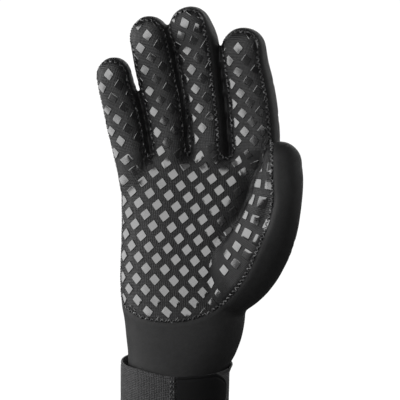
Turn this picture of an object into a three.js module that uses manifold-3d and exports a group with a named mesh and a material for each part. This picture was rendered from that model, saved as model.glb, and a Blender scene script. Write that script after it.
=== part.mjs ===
// A right-hand neoprene water-sports glove in the shape that it takes on a hand, palm towards -Y, fingers up.
// The origin is the middle of the cuff's open mouth. Units are millimetres, +Z is up.
// The skin is one hollow wall, sewn from a gripped palm panel and a plain body panel, with a strap round the wrist.
import * as THREE from "three";
import { mergeVertices } from "three/addons/utils/BufferGeometryUtils.js";
import Module from "manifold-3d";

const wasm = await Module();
wasm.setup();

// Driving dimensions
const WALL = 3; // neoprene thickness
const SEAM_GAP = 0.3; // clearance between the two panels along the seam
const LAYER_GAP = 0.3; // clearance between the strap and what it lies on
const STRAP_THICKNESS = 1.6;
const STRAP_WIDTH = 40;
const STRAP_SLOPE = 0.235; // how far the strap drops for each millimetre towards the palm side
const STRAP_MIDDLE_Z = 38.5; // height of the strap's middle line at mid depth
const STRAP_HALF_DEPTH = 24; // from mid depth to the strap in front
const STRAP_CLEARANCE = 0.4; // the strap's stand-off from the wrist, over the facets
const STRAP_SIDE_RISE = 3; // how much higher the strap runs on the little finger's side
const STRAP_LOOSE = 0.9; // how much further the strap stands off on the little finger's side
const FINGER_SEAM_DEPTH = 0.375; // the finger seams' distance in front of the axis, over the half depth
const FINGER_ROOT_DEPTH = 0.8; // the same inside the palm, where the palm's own seam takes over
const FINGER_ROOT_TOP = 175;
const PALM_SEAM_Y = -3; // the palm panel lies in front of this depth
const CUTTER_FRONT_Y = -80;
const CUTTER_TOP_Z = 188.5; // just over the webs between the fingers
const THUMB_CUTTER_BACK_Y = -21; // behind the thumb's pad and in front of the index finger
const GROWTH = 0.1; // how far a finger's cutter stands outside the finger
const DIGIT_SIDES = 16;
const PALM_SIDES = 40;
const DOME_STEPS = 4;

// Turns rows of numbers into objects with the named columns.
function table(columns, rows) {
  const names = columns.split(" ");
  return rows.map((row) => Object.fromEntries(names.map((name, i) => [name, row[i]])));
}

// Each row is a station on the digit's axis with its half width and half depth; dome is the length of the round tip.
const DIGIT_COLUMNS = "x y z side front";
const DIGITS = {
  pinky: {
    turn: 20,
    power: 2.5,
    dome: 11.2,
    rows: table(DIGIT_COLUMNS, [
      [-20.5, 0, 152, 8, 9.5],
      [-23.6, -1.8, 171, 10.4, 11.4],
      [-25.4, -3, 182, 10.7, 12],
      [-27.8, -5, 194.5, 11.1, 11.8],
      [-30.4, -7, 206.8, 11.4, 11.6],
      [-33.2, -10, 219, 11.4, 11.3],
      [-35.8, -14, 229.8, 11.4, 11],
      [-37.7, -17, 237, 11.1, 10.6],
    ]),
  },
  ring: {
    turn: 20,
    power: 2.5,
    dome: 15,
    rows: table(DIGIT_COLUMNS, [
      [-0.5, 0, 152, 9, 10.5],
      [-1.6, -1, 171, 11, 12.4],
      [-2.1, -2, 184, 11.2, 13],
      [-3.2, -4, 197.7, 11.3, 12.8],
      [-5.5, -6, 213, 11.8, 12.6],
      [-8.9, -9, 229.5, 12.4, 12.3],
      [-12.8, -13, 245.3, 12.2, 12],
      [-15.2, -17, 258.5, 12.2, 11.4],
    ]),
  },
  middle: {
    turn: 18,
    power: 2.5,
    dome: 13.2,
    rows: table(DIGIT_COLUMNS, [
      [22.5, 0, 152, 9, 10.5],
      [22.3, -1, 171, 11.3, 12.6],
      [22.1, -2, 184, 11.5, 13.3],
      [21.3, -4, 197.7, 11.5, 13.1],
      [19.7, -6, 214.9, 11.8, 12.9],
      [17.3, -9, 231.4, 12.2, 12.6],
      [14.7, -13, 248.4, 12.7, 12.2],
      [12.3, -15.5, 259.5, 12.9, 12],
      [10.1, -17.5, 266, 12.9, 11.7],
    ]),
  },
  index: {
    turn: 14,
    power: 2.5,
    dome: 13.6,
    rows: table(DIGIT_COLUMNS, [
      [45, -0.5, 152, 9.5, 10],
      [48, -2.4, 171, 12.6, 12.6],
      [49.2, -4, 185.3, 14.3, 13.5],
      [49, -6, 199.5, 15, 13.3],
      [47.8, -8, 214.8, 15.1, 13.1],
      [45.6, -11, 230.7, 14.5, 12.8],
      [43, -14, 243.4, 13.7, 12.4],
      [41.7, -17, 252.6, 13.4, 12],
    ]),
  },
  thumb: {
    turn: 25,
    power: 2.2,
    dome: 13.2,
    rows: table(DIGIT_COLUMNS, [
      [19.4, -1, 94, 11.9, 14.5],
      [27.7, -5, 102.4, 16.4, 17.2],
      [36.8, -10, 111.2, 19.4, 18],
      [43.5, -16, 120.2, 20.4, 17.6],
      [49, -22, 129.5, 20.2, 17.2],
      [53.3, -27, 139, 19.6, 16.8],
      [56.8, -30, 148.3, 18.4, 16],
      [59.4, -32, 157.6, 17, 15.2],
      [61.4, -32, 166.6, 15.9, 14.4],
      [62.6, -31, 175.7, 14.8, 13.7],
      [63.4, -29.5, 183, 13.1, 12.9],
    ]),
  },
};

// Level sections of the cuff, wrist and palm: middle, half width, half depth and how square the outline is.
const PALM = table("z x y side front power", [
  [0, 0.2, 0, 32.6, 24.6, 2.1],
  [10, 0.3, 0, 31.1, 23.2, 2.1],
  [22, 0.4, 0, 30.4, 22.4, 2.1],
  [38, 0.5, 0, 30.3, 22.2, 2.1],
  [54, 0.7, 0, 30.5, 22.2, 2.1],
  [66.3, 3.8, 0, 33.6, 23, 2.2],
  [73.8, 4.8, 0, 35.5, 23.4, 2.2],
  [86.2, 5.4, 0, 37.3, 23, 2.3],
  [95.5, 5, 0, 38.4, 22.5, 2.4],
  [111, 6.4, 0, 40.8, 21.5, 2.5],
  [129.6, 9.7, 0, 43.6, 20, 2.6],
  [148.2, 13, 0, 46.5, 18.5, 2.7],
  [166.8, 14.7, 0, 48.5, 17.3, 2.7],
  [178, 14.5, -0.5, 48.9, 16, 2.6],
  [184, 13.9, -1, 48.4, 13.2, 2.4],
  [187, 13.8, -1.5, 46.5, 8.5, 2.2],
]);

// The seam that closes the palm panel below, seen from the front, from the little finger's side round the ball of the
// thumb and up the thumb.
const SEAM = table("x z", [
  [-45, 103],
  [-31, 94.3],
  [-19.2, 88.2],
  [-4, 86.4],
  [13.7, 89.1],
  [29.2, 97.6],
  [41, 112.5],
  [49.5, 130.2],
  [55.6, 147.2],
  [58.6, 160],
  [58.1, 172],
  [58.7, 200],
]);
const SEAM_STEPS = 26;

// Heights of the strap's rings from its middle line.
const STRAP_RISES = [-0.5, -0.17, 0.17, 0.5].map((share) => share * STRAP_WIDTH);

const rad = THREE.MathUtils.degToRad;
const { smoothstep } = THREE.MathUtils;

// A three.js geometry as a manifold solid.
function solid(geometry) {
  const bare = geometry.clone();
  bare.deleteAttribute("normal");
  bare.deleteAttribute("uv");
  const merged = mergeVertices(bare, 1e-4);
  return new wasm.Manifold(
    new wasm.Mesh({
      numProp: 3,
      vertProperties: new Float32Array(merged.attributes.position.array),
      triVerts: new Uint32Array(merged.index.array),
    }),
  );
}

// A manifold solid as a three.js geometry.
function geometry(made) {
  const mesh = made.getMesh();
  const result = new THREE.BufferGeometry();
  result.setAttribute("position", new THREE.BufferAttribute(new Float32Array(mesh.vertProperties), 3));
  result.setIndex(new THREE.BufferAttribute(new Uint32Array(mesh.triVerts), 1));
  return result;
}

// A closed solid through rings of equal length that run anticlockwise seen from the last ring's side.
function loft(rings) {
  const sides = rings[0].length;
  const middle = (ring) => ring.reduce((sum, p) => sum.add(p), new THREE.Vector3()).divideScalar(ring.length);
  const points = [...rings.flat(), middle(rings[0]), middle(rings.at(-1))];
  const index = [];
  for (let i = 0; i < rings.length - 1; i++) {
    for (let j = 0; j < sides; j++) {
      const a = i * sides + j;
      const b = i * sides + ((j + 1) % sides);
      index.push(a, b, b + sides, a, b + sides, a + sides);
    }
  }
  const last = (rings.length - 1) * sides;
  for (let j = 0; j < sides; j++) {
    const next = (j + 1) % sides;
    index.push(points.length - 2, next, j);
    index.push(points.length - 1, last + j, last + next);
  }
  const result = new THREE.BufferGeometry().setFromPoints(points);
  result.setIndex(index);
  return solid(result);
}

// Directions across a digit at a station: along its axis, to its side and out of its pad.
function directions(rows, i, turn) {
  const before = rows[Math.max(i - 1, 0)];
  const after = rows[Math.min(i + 1, rows.length - 1)];
  const along = new THREE.Vector3(after.x - before.x, after.y - before.y, after.z - before.z).normalize();
  const pad = new THREE.Vector3(-Math.sin(rad(turn)), -Math.cos(rad(turn)), 0);
  const front = pad.addScaledVector(along, -pad.dot(along)).normalize();
  const side = new THREE.Vector3().crossVectors(front, along).negate();
  return { along, front, side };
}

// A sine or cosine bent so that a circle becomes a rounder (2) or squarer (over 2) outline.
function bent(value, power) {
  return Math.sign(value) * Math.abs(value) ** (2 / power);
}

// A unit outline between a circle and a square, as [across, deep] pairs.
function rounded(sides, power) {
  const pairs = [];
  for (let j = 0; j < sides; j++) {
    const t = (2 * Math.PI * j) / sides;
    pairs.push([bent(Math.cos(t), power), bent(Math.sin(t), power)]);
  }
  return pairs;
}

// One digit, with its walls taken in by inset: its stations and then a round tip.
function digit({ rows, turn, power, dome }, inset) {
  const rings = [];
  const unit = rounded(DIGIT_SIDES, power);
  const place = (centre, { side, front }, halfSide, halfFront) => {
    rings.push(
      unit.map(([across, deep]) =>
        centre
          .clone()
          .addScaledVector(side, halfSide * across)
          .addScaledVector(front, -halfFront * deep),
      ),
    );
  };
  rows.forEach((row, i) => {
    const centre = new THREE.Vector3(row.x, row.y, row.z);
    place(centre, directions(rows, i, turn), row.side - inset, row.front - inset);
  });
  const tip = rows.at(-1);
  const frame = directions(rows, rows.length - 1, turn);
  for (let k = 1; k <= DOME_STEPS; k++) {
    const t = (k / (DOME_STEPS + 0.35)) * (Math.PI / 2);
    const centre = new THREE.Vector3(tip.x, tip.y, tip.z).addScaledVector(frame.along, (dome - inset) * Math.sin(t));
    place(centre, frame, (tip.side - inset) * Math.cos(t), (tip.front - inset) * Math.cos(t));
  }
  return loft(rings);
}

// A level outline of the palm.
function outline({ z, x, y, side, front, power }, inset) {
  return rounded(PALM_SIDES, power).map(
    ([across, deep]) => new THREE.Vector3(x + (side - inset) * across, y + (front - inset) * deep, z),
  );
}

// Cuff, wrist and palm; the inner one runs out through the mouth and stops a wall short of the webs.
function palm(inset) {
  const rows = PALM.map((row) => ({ ...row }));
  if (inset > 0) {
    rows[0].z = -inset;
    for (const row of rows.slice(-3)) row.z -= inset;
  }
  return loft(rows.map((row) => outline(row, inset)));
}

function skin(inset) {
  return Object.values(DIGITS).reduce((sum, shape) => sum.add(digit(shape, inset)), palm(inset));
}

// Everything in front of the seam plane of one finger.
function fingerCutter(shape, clearance) {
  const { rows, turn } = shape;
  const reach = 40;
  const stations = rows.map((row, i) => {
    return { centre: new THREE.Vector3(row.x, row.y, row.z), row, ...directions(rows, i, turn) };
  });
  const end = stations.at(-1);
  stations.push({ ...end, centre: end.centre.clone().addScaledVector(end.along, 2 * shape.dome) });
  const rings = stations.map(({ centre, row, side, front }) => {
    const near = row.front * (row.z < FINGER_ROOT_TOP ? FINGER_ROOT_DEPTH : FINGER_SEAM_DEPTH) + clearance;
    const corners = [
      [-reach, near],
      [reach, near],
      [reach, reach],
      [-reach, reach],
    ];
    return corners.map(([s, f]) => centre.clone().addScaledVector(side, s).addScaledVector(front, f)).reverse();
  });
  return loft(rings).intersect(digit(shape, -GROWTH));
}

// A prism over an outline in the XZ plane, between two depths.
function prism(points, backY) {
  const shape = new THREE.Shape(points.map(({ x, z }) => new THREE.Vector2(x, z)));
  const made = new THREE.ExtrudeGeometry(shape, { depth: backY - CUTTER_FRONT_Y, bevelEnabled: false });
  made.rotateX(Math.PI / 2);
  made.translate(0, backY, 0);
  return solid(made);
}

// Everything that the palm panel is cut from, taken in by clearance.
function palmCutter(clearance) {
  const curve = new THREE.SplineCurve(SEAM.map(({ x, z }) => new THREE.Vector2(x, z)));
  const seam = curve.getPoints(SEAM_STEPS).map((p, i, all) => {
    const before = all[Math.max(i - 1, 0)];
    const after = all[Math.min(i + 1, all.length - 1)];
    const inward = new THREE.Vector2(before.y - after.y, after.x - before.x).normalize();
    return { x: p.x + clearance * inward.x, z: p.y + clearance * inward.y };
  });
  const top = CUTTER_TOP_Z - clearance;
  const below = seam.filter(({ z }) => z < top);
  const palmPart = prism([...below, { x: below.at(-1).x, z: top }, { x: -60, z: top }], PALM_SEAM_Y - clearance);
  const beside = seam.filter(({ x, z }) => x > 40 && z > 130);
  const inner = 30;
  const thumbPart = prism(
    [...beside, { x: inner, z: beside.at(-1).z }, { x: inner, z: beside[0].z }],
    THUMB_CUTTER_BACK_Y - clearance,
  );
  const fingers = ["pinky", "ring", "middle", "index"].map((name) => fingerCutter(DIGITS[name], clearance));
  return fingers.reduce((sum, finger) => sum.add(finger), palmPart.add(thumbPart));
}

// The level section of the cuff, wrist and palm at a height.
function section(z) {
  const above = Math.max(PALM.findIndex((row) => row.z > z), 1);
  const [low, high] = [PALM[above - 1], PALM[above]];
  const share = (z - low.z) / (high.z - low.z);
  return Object.fromEntries(Object.keys(low).map((key) => [key, THREE.MathUtils.lerp(low[key], high[key], share)]));
}

// How much higher the strap runs at an angle, in degrees from the palm side towards the thumb side.
function sideRise(angle) {
  return STRAP_SIDE_RISE * smoothstep(angle, 190, 250) * (1 - smoothstep(angle, 310, 365));
}

// A strip wrapped round the wrist from one angle to another, in degrees from the palm side towards the thumb side.
// lift gives how far its inner face stands off the wrist.
function strip(from, to, steps, lift) {
  const point = (angle, rise, out) => {
    const t = rad(angle);
    const z = STRAP_MIDDLE_Z - STRAP_SLOPE * STRAP_HALF_DEPTH * Math.cos(t) + sideRise(angle) + rise;
    const { x, y, side, front, power } = section(z);
    return new THREE.Vector3(
      x + (side + out) * bent(Math.sin(t), power),
      y - (front + out) * bent(Math.cos(t), power),
      z,
    );
  };
  const rings = [];
  for (let i = 0; i <= steps; i++) {
    const angle = from + ((to - from) * i) / steps;
    const inner = STRAP_RISES.map((rise) => point(angle, rise, lift(angle)));
    const outer = STRAP_RISES.map((rise) => point(angle, rise, lift(angle) + STRAP_THICKNESS));
    rings.push([...inner, ...outer.reverse()]);
  }
  return loft(rings);
}

// Strap: it goes once round the wrist and ends over its own start, where the tab is sewn on.
const STRAP_START = -8;
const STRAP_END = 358.9;
const STRAP_STEPS = 44;
const SPIRAL = STRAP_THICKNESS + LAYER_GAP;
const looseness = (angle) => STRAP_LOOSE * smoothstep(angle, 200, 270) * (1 - smoothstep(angle, 270, 340));
const strapLift = (angle) => STRAP_CLEARANCE + SPIRAL * smoothstep(angle, 70, 330) + looseness(angle);

// Tab: from the strap's end to a round end on the thumb side, seen from the front.
const TAB_START = 0;
const TAB_END = 76;
const TAB_STEPS = 12;
const TAB_ROUND = { x: 16, z: 47, across: 15, above: 8.6, below: 34, power: 2.2, sides: 64 };
const tabOutline = rounded(TAB_ROUND.sides, TAB_ROUND.power)
  .filter(([across]) => across >= 0)
  .map(([across, high]) => {
    const reach = high > 0 ? TAB_ROUND.above : TAB_ROUND.below;
    return { x: TAB_ROUND.x + TAB_ROUND.across * across, z: TAB_ROUND.z + reach * high };
  })
  .sort((a, b) => a.z - b.z);
tabOutline.push({ x: -TAB_ROUND.x, z: TAB_ROUND.z + TAB_ROUND.above });
tabOutline.push({ x: -TAB_ROUND.x, z: 0 });
tabOutline.push({ x: TAB_ROUND.x, z: 0 });

// The largest body of a cut, without the slivers that faceted cutters leave.
function largest(made) {
  return made.decompose().reduce((best, body) => (body.volume() > best.volume() ? body : best));
}

const shell = skin(0).subtract(skin(WALL));
const solids = {
  palm_panel: largest(shell.intersect(palmCutter(SEAM_GAP))),
  body_panel: largest(shell.subtract(palmCutter(0))),
  wrist_strap: strip(STRAP_START, STRAP_END, STRAP_STEPS, strapLift),
  closure_tab: strip(TAB_START, TAB_END, TAB_STEPS, () => STRAP_CLEARANCE + SPIRAL).intersect(prism(tabOutline, 0)),
};

const LOOKS = {
  palm_panel: { color: 0x35363a, roughness: 0.75, metalness: 0 },
  body_panel: { color: 0x1f2023, roughness: 0.85, metalness: 0 },
  wrist_strap: { color: 0x3a3b3e, roughness: 0.7, metalness: 0 },
  closure_tab: { color: 0x141416, roughness: 0.6, metalness: 0 },
};

const glove = new THREE.Group();
for (const [name, made] of Object.entries(solids)) {
  const mesh = new THREE.Mesh(geometry(made), new THREE.MeshStandardMaterial(LOOKS[name]));
  mesh.name = name;
  glove.add(mesh);
}

export default glove;
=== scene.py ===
import math
import random

import bmesh
import bpy
import numpy as np
from mathutils import Matrix, Vector, noise
from mathutils.bvhtree import BVHTree


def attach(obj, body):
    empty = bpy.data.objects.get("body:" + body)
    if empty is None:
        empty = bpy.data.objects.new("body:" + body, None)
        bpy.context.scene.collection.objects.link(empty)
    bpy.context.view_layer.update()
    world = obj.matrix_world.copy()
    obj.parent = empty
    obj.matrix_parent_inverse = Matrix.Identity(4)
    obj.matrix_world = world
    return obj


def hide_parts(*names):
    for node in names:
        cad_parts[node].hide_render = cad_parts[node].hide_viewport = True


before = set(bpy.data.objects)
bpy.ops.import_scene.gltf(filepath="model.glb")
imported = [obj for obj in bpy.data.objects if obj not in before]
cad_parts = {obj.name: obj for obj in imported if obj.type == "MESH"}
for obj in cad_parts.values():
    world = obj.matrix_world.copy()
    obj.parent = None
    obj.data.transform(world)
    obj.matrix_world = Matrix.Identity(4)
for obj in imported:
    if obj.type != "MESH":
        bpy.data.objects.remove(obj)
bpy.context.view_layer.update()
random.seed(5)
MM = 0.001

# Skin
WALL = 3.0
VOXEL = 1.22
DIGIT_SIDES = 40
PALM_SIDES = 88
RING_STEP = 2.5
DOME_RINGS = 9
MOUTH_OVERRUN = -6.0
SEAM_CLEARANCE = 0.12
SEAM_ROUNDING = 8.0
SEAM_SNAP = 0.2
SEAM_GROOVE = {"depth": 0.5, "reach": 1.0, "shoulder": 0.18, "shoulder_at": 3.2, "shoulder_reach": 1.6}
# Slow waves of the skin, as how many to a millimetre and their height.
UNEVEN = ((0.045, 0.22), (0.13, 0.035))
# How far each finger's seam lies in front of its axis, as a share of the half depth: left side, right side.
FINGER_SEAM = {"little": (0.5, 0.38), "ring": (0.82, 0.38), "middle": (0.38, 0.84), "first": (0.7, 0.7)}
TIP_SEAM_DEPTH = 0.3
PALM_SEAM_Y = -3.0
FINGERS_FROM_Z = (178.0, 190.0)
# How sharply a finger's seam gives way to its neighbour's between them.
FINGER_SHARPNESS = 9.0
# A point this many millimetres beyond a digit's end counts as one half width away from it.
BEYOND_END = 12.0

# Each row is x, y, z, half width and half depth of a station. The pad is turned from the front by turn
# degrees, power is how square the ovals are, dome the round tip's length, and take_in narrows each side.
DIGITS = {
    "little": {"turn": 20, "power": 2.9, "dome": 11.2, "take_in": 0.25, "rows": [
        (-20.5, 0, 152, 8, 9.5),
        (-23.6, -1.8, 171, 10.4, 11.4),
        (-25.4, -3, 182, 10.7, 12),
        (-27.8, -5, 194.5, 11.1, 11.8),
        (-30.4, -7, 206.8, 11.4, 11.6),
        (-33.1, -9.6, 219, 11.1, 11.3),
        (-36.1, -12.7, 229.8, 10.4, 11),
        (-37.6, -15, 237, 10.1, 10.6),
    ]},
    "ring": {"turn": 20, "power": 2.9, "dome": 15, "take_in": 0.25, "rows": [
        (-0.5, 0, 152, 9, 10.5),
        (-1.6, -1, 171, 11, 12.4),
        (-2.1, -2, 184, 11.2, 13),
        (-3.2, -4, 197.7, 11.3, 12.8),
        (-5.5, -6, 213, 11.8, 12.6),
        (-8.8, -9, 229.5, 12.5, 12.3),
        (-12.4, -13, 245.3, 12.6, 12),
        (-15.2, -17, 258.5, 12.2, 11.4),
    ]},
    "middle": {"turn": 18, "power": 2.9, "dome": 13.2, "take_in": 0.25, "rows": [
        (22.5, 0, 152, 9, 10.5),
        (22.3, -1, 171, 11.3, 12.6),
        (22.1, -2, 184, 11.5, 13.3),
        (21.3, -4, 197.7, 11.5, 13.1),
        (19.7, -6, 214.9, 11.8, 12.9),
        (17.3, -9, 231.4, 12.2, 12.6),
        (14.7, -13, 248.4, 12.7, 12.2),
        (12.3, -15.5, 259.5, 12.9, 12),
        (9.2, -17.5, 266, 12.9, 11.7),
    ]},
    "first": {"turn": 19, "power": 2.9, "dome": 13.6, "take_in": 0.25, "rows": [
        (45, -0.5, 152, 9.5, 10),
        (48, -2.4, 171, 12.6, 12.6),
        (49.2, -4, 185.3, 14.3, 13.5),
        (49, -6, 199.5, 15, 13.3),
        (47.8, -8, 214.8, 15.1, 13.1),
        (45.6, -11, 230.7, 14.5, 12.8),
        (43, -14, 243.4, 13.7, 12.4),
        (41.7, -17, 252.6, 13.4, 12),
    ]},
    "thumb": {"turn": 25, "power": 2.2, "dome": 13.2, "rows": [
        (19.4, -1, 94, 11.9, 14.5),
        (27.7, -5, 102.4, 16.4, 17.2),
        (36.8, -10, 111.2, 19.4, 18),
        (43.5, -16, 120.2, 20.4, 17.6),
        (49, -22, 129.5, 20.2, 17.2),
        (53.3, -27, 139, 19.6, 16.8),
        (56.8, -30, 148.3, 18.4, 16),
        (59.4, -32, 157.6, 17, 15.2),
        (61.4, -32, 166.6, 15.9, 14.4),
        (62.6, -31, 175.7, 14.8, 13.7),
        (63.4, -29.5, 183, 13.1, 12.9),
    ]},
}
FINGERS = ("little", "ring", "middle", "first")

# Level sections of cuff, wrist and palm: z, then middle x and y, half width, half depth and squareness.
PALM = np.array([
    (0, 0.2, 0, 32.6, 24.6, 2.1),
    (10, 0.3, 0, 31.1, 23.2, 2.1),
    (22, 0.4, 0, 30.4, 22.4, 2.1),
    (38, 0.5, 0, 30.3, 22.2, 2.1),
    (54, 0.7, 0, 30.5, 22.2, 2.1),
    (66.3, 3.8, 0, 33.6, 23, 2.2),
    (73.8, 4.8, 0, 35.5, 23.4, 2.2),
    (86.2, 5.4, 0, 37.3, 23, 2.3),
    (95.5, 5, 0, 38.4, 22.5, 2.4),
    (111, 6.4, 0, 40.8, 21.5, 2.5),
    (129.6, 9.7, 0, 43.6, 20, 2.6),
    (148.2, 13, 0, 46.5, 18.5, 2.7),
    (166.8, 14.7, 0, 48.5, 17.3, 2.7),
    (178, 14.5, -0.5, 48.9, 16, 2.6),
    (184, 13.9, -1, 48.4, 13.2, 2.4),
    (187, 13.8, -1.5, 46.5, 8.5, 2.2),
], dtype=float)

# The lower seam of the palm panel and its run up the thumb, seen from the front, as x and z.
SEAM = np.array([
    (-45, 103), (-31, 94.3), (-19.2, 88.2), (-4, 86.4), (13.7, 89.1), (29.2, 97.6), (41, 112.5),
    (49.5, 130.2), (55.6, 147.2), (58.6, 160), (58.1, 172), (58.7, 200),
], dtype=float)

# The fold between the palm and the thumb, seen from the front, as x and z, and how it is pressed in.
FOLD = [(24.6, 129.3), (30.1, 136.5), (35.7, 145.9), (41.2, 155.3), (45.1, 164.1), (46.8, 170.7),
        (48.4, 176.3), (50.7, 181.9), (52.6, 187.4)]
FOLD_DEPTH = 2.7
FOLD_REACH = 11.0
FOLD_SLOPE = 1.6
FOLD_WALL = 1.1
FOLD_SWELL = 0.4
FOLD_SWELL_REACH = 7.0
FOLD_FADE = ((127, 150), (182, 196))
FOLD_BEHIND_Y = -6

# A hollow in the thumb's front beside its seam, in the same way.
HOLLOW = [(49.5, 136), (51.2, 141), (53.6, 150.7), (55.9, 160.6), (57.2, 170.5), (58, 180)]
HOLLOW_DEPTH = 2.4
HOLLOW_REACH = 3.6
HOLLOW_FADE = ((137, 149), (155, 167))
HOLLOW_BEHIND_Y = -20

# Creases across the joints: length along each digit, number of lines and depth.
JOINTS = {
    "little": [(52, 2, 0.35), (71, 1, 0.25)],
    "ring": [(57, 2, 0.35), (82, 1, 0.25)],
    "middle": [(61, 3, 0.45), (88, 1, 0.25)],
    "first": [(58, 2, 0.35), (80, 1, 0.25)],
    "thumb": [(62, 3, 0.4)],
}
CREASE_APART = 3.4
CREASE_HALF_WIDTH = 1.15
CREASE_WANDER = 0.9
CREASE_FADE_IN_FRONT = 0.8
CREASE_BEHIND = -0.25
CREASE_WITHIN = 1.4

# Where the skin is rounded: passes, then the x, y and z ranges of the webs, fold, thumb's root and all.
FAR = 999.0
ROUNDED = (
    (8, (-FAR, FAR), (-18, FAR), (174, 199)),
    (4, (14, 62), (-FAR, FAR), (88, 132)),
    (12, (30, FAR), (-FAR, FAR), (90, 124)),
    (2, (-FAR, FAR), (-FAR, FAR), (-FAR, FAR)),
)

# Lengths along a digit over which the knit turns from the palm's run to the digit's own.
THUMB_KNIT_FROM = (10.0, 34.0)
FINGER_KNIT_FROM = (28.0, 42.0)
KNIT_WITHIN = 1.35


def smooth_table(rows, step, keys=3):
    """Rows resampled evenly along their first columns, on smooth curves through the given ones."""
    rows = np.array(rows, dtype=float)
    chord = np.concatenate([[0], np.cumsum(np.linalg.norm(np.diff(rows[:, :keys], axis=0), axis=1))])
    slope = np.gradient(rows, chord, axis=0)
    at = np.linspace(0, chord[-1], max(int(round(chord[-1] / step)), 2) + 1)
    i = np.clip(np.searchsorted(chord, at, side="right") - 1, 0, len(chord) - 2)
    h = (chord[i + 1] - chord[i])[:, None]
    t = (at - chord[i])[:, None] / h
    low = (1 + 2 * t) * (1 - t) ** 2 * rows[i] + t * (1 - t) ** 2 * h * slope[i]
    high = t * t * (3 - 2 * t) * rows[i + 1] + t * t * (t - 1) * h * slope[i + 1]
    return at, low + high


def unit_rows(vectors):
    return vectors / np.linalg.norm(vectors, axis=1)[:, None]


def digit_path(shape):
    """The digit's smooth axis with its frames: along it, to its side and out of its pad."""
    at, rows = smooth_table(shape["rows"], RING_STEP)
    along = unit_rows(np.gradient(rows[:, :3], at, axis=0))
    turn = math.radians(shape["turn"])
    pad = np.array([-math.sin(turn), -math.cos(turn), 0.0])
    front = unit_rows(pad - along * (along @ pad)[:, None])
    side = unit_rows(np.cross(along, front))
    return {"at": at, "centre": rows[:, :3], "along": along, "side": side, "front": front,
            "half_side": rows[:, 3] - shape.get("take_in", 0), "half_front": rows[:, 4],
            "dome": shape["dome"], "power": shape["power"]}


PATHS = {name: digit_path(shape) for name, shape in DIGITS.items()}
_, PALM_SMOOTH = smooth_table(PALM, RING_STEP, keys=1)
SEAM_SMOOTH, FOLD_SMOOTH, HOLLOW_SMOOTH = [
    smooth_table(line, 4.0, keys=2)[1] for line in (SEAM, FOLD, HOLLOW)]


def column(path, key, at):
    """A path's values at lengths along it. Past its end the axis runs straight on and the rest stays."""
    values = path[key]
    if values.ndim == 1:
        return np.interp(at, path["at"], values)
    found = np.stack([np.interp(at, path["at"], values[:, k]) for k in range(3)], axis=1)
    if key == "centre":
        return found + path["along"][-1] * np.maximum(at - path["at"][-1], 0)[:, None]
    return found


def station(path, at):
    """A path's centre, side, front, half width and half depth at one length along it."""
    return [column(path, key, np.array([at]))[0]
            for key in ("centre", "side", "front", "half_side", "half_front")]


def on_digit(name, points):
    """Where points lie on a digit: length along it, offsets to its side and front, its half sizes there."""
    path = PATHS[name]
    end = path["at"][-1] + path["dome"]
    at = np.interp(points[:, 2], path["centre"][:, 2], path["at"])
    for _ in range(3):
        offset = points - column(path, "centre", at)
        at = np.clip(at + np.sum(offset * column(path, "along", at), axis=1), 0, end)
    offset = points - column(path, "centre", at)
    across = np.sum(offset * column(path, "side", at), axis=1)
    out = np.sum(offset * column(path, "front", at), axis=1)
    half_side, half_front = column(path, "half_side", at), column(path, "half_front", at)
    reach = np.hypot(across / half_side, out / half_front)
    beyond = np.sum(offset * column(path, "along", at), axis=1)
    return {"at": at, "across": across, "out": out, "half_side": half_side, "half_front": half_front,
            "reach": reach + np.abs(beyond) / BEYOND_END}


def palm_section(z, rows=PALM_SMOOTH):
    """Middle x and y, half width, half depth and squareness of the palm at one height."""
    return [np.interp(z, rows[:, 0], rows[:, k]) for k in range(1, 6)]


def blend(low, high, value):
    t = np.clip((value - low) / (high - low), 0, 1)
    return t * t * (3 - 2 * t)


def between(span, value):
    """Rises from 0 to 1 over a span's first pair of values, and falls back over its second."""
    rise, fall = span
    return blend(*rise, value) * (1 - blend(*fall, value))


def round_max(a, b, radius):
    """The larger of two fields, with its corner rounded."""
    h = np.maximum(radius - np.abs(a - b), 0) / radius
    return np.maximum(a, b) + h * h * radius / 4


def beside(points, line):
    """Distance to a line drawn over the front view, as x and z, negative on the left of its run."""
    flat = points[:, [0, 2]]
    best = np.full(len(flat), 1e9)
    signed = np.zeros(len(flat))
    for a, b in zip(line[:-1], line[1:]):
        run = b - a
        t = np.clip(((flat - a) @ run) / (run @ run), 0, 1)
        gap = flat - (a + t[:, None] * run)
        distance = np.linalg.norm(gap, axis=1)
        sign = np.where(run[0] * gap[:, 1] - run[1] * gap[:, 0] > 0, -1.0, 1.0)
        closer = distance < best
        best = np.where(closer, distance, best)
        signed = np.where(closer, sign * distance, signed)
    return signed


def finger_seam(name, place):
    """Millimetres behind a finger's seam, which runs from its left side over the tip to its right side."""
    end = PATHS[name]["at"][-1]
    left, right = FINGER_SEAM[name]
    depth = left + (right - left) * np.clip(place["across"] / place["half_side"] / 2 + 0.5, 0, 1)
    depth = depth - (depth - TIP_SEAM_DEPTH) * blend(end - 4, end + PATHS[name]["dome"] * 0.8, place["at"])
    return place["half_front"] * depth - place["out"]


def seam_field(points):
    """Millimetres from the panels' seam over the skin, negative on the palm panel."""
    field = round_max(points[:, 1] - PALM_SEAM_Y, beside(points, SEAM_SMOOTH), SEAM_ROUNDING)
    near = {name: on_digit(name, points) for name in FINGERS}
    reach = np.stack([near[name]["reach"] for name in FINGERS])
    thumb = on_digit("thumb", points)["reach"]
    planes = np.stack([finger_seam(name, near[name]) for name in FINGERS])
    weight = np.exp(-(reach - reach.min(axis=0)) * FINGER_SHARPNESS)
    finger_field = (weight * planes).sum(axis=0) / weight.sum(axis=0)
    share = blend(*FINGERS_FROM_Z, points[:, 2]) * (thumb > reach.min(axis=0))
    return field * (1 - share) + finger_field * share


def bent(value, power):
    return math.copysign(abs(value) ** (2 / power), value)


def edges_of(verts):
    return list({edge for vert in verts for edge in vert.link_edges})


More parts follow.
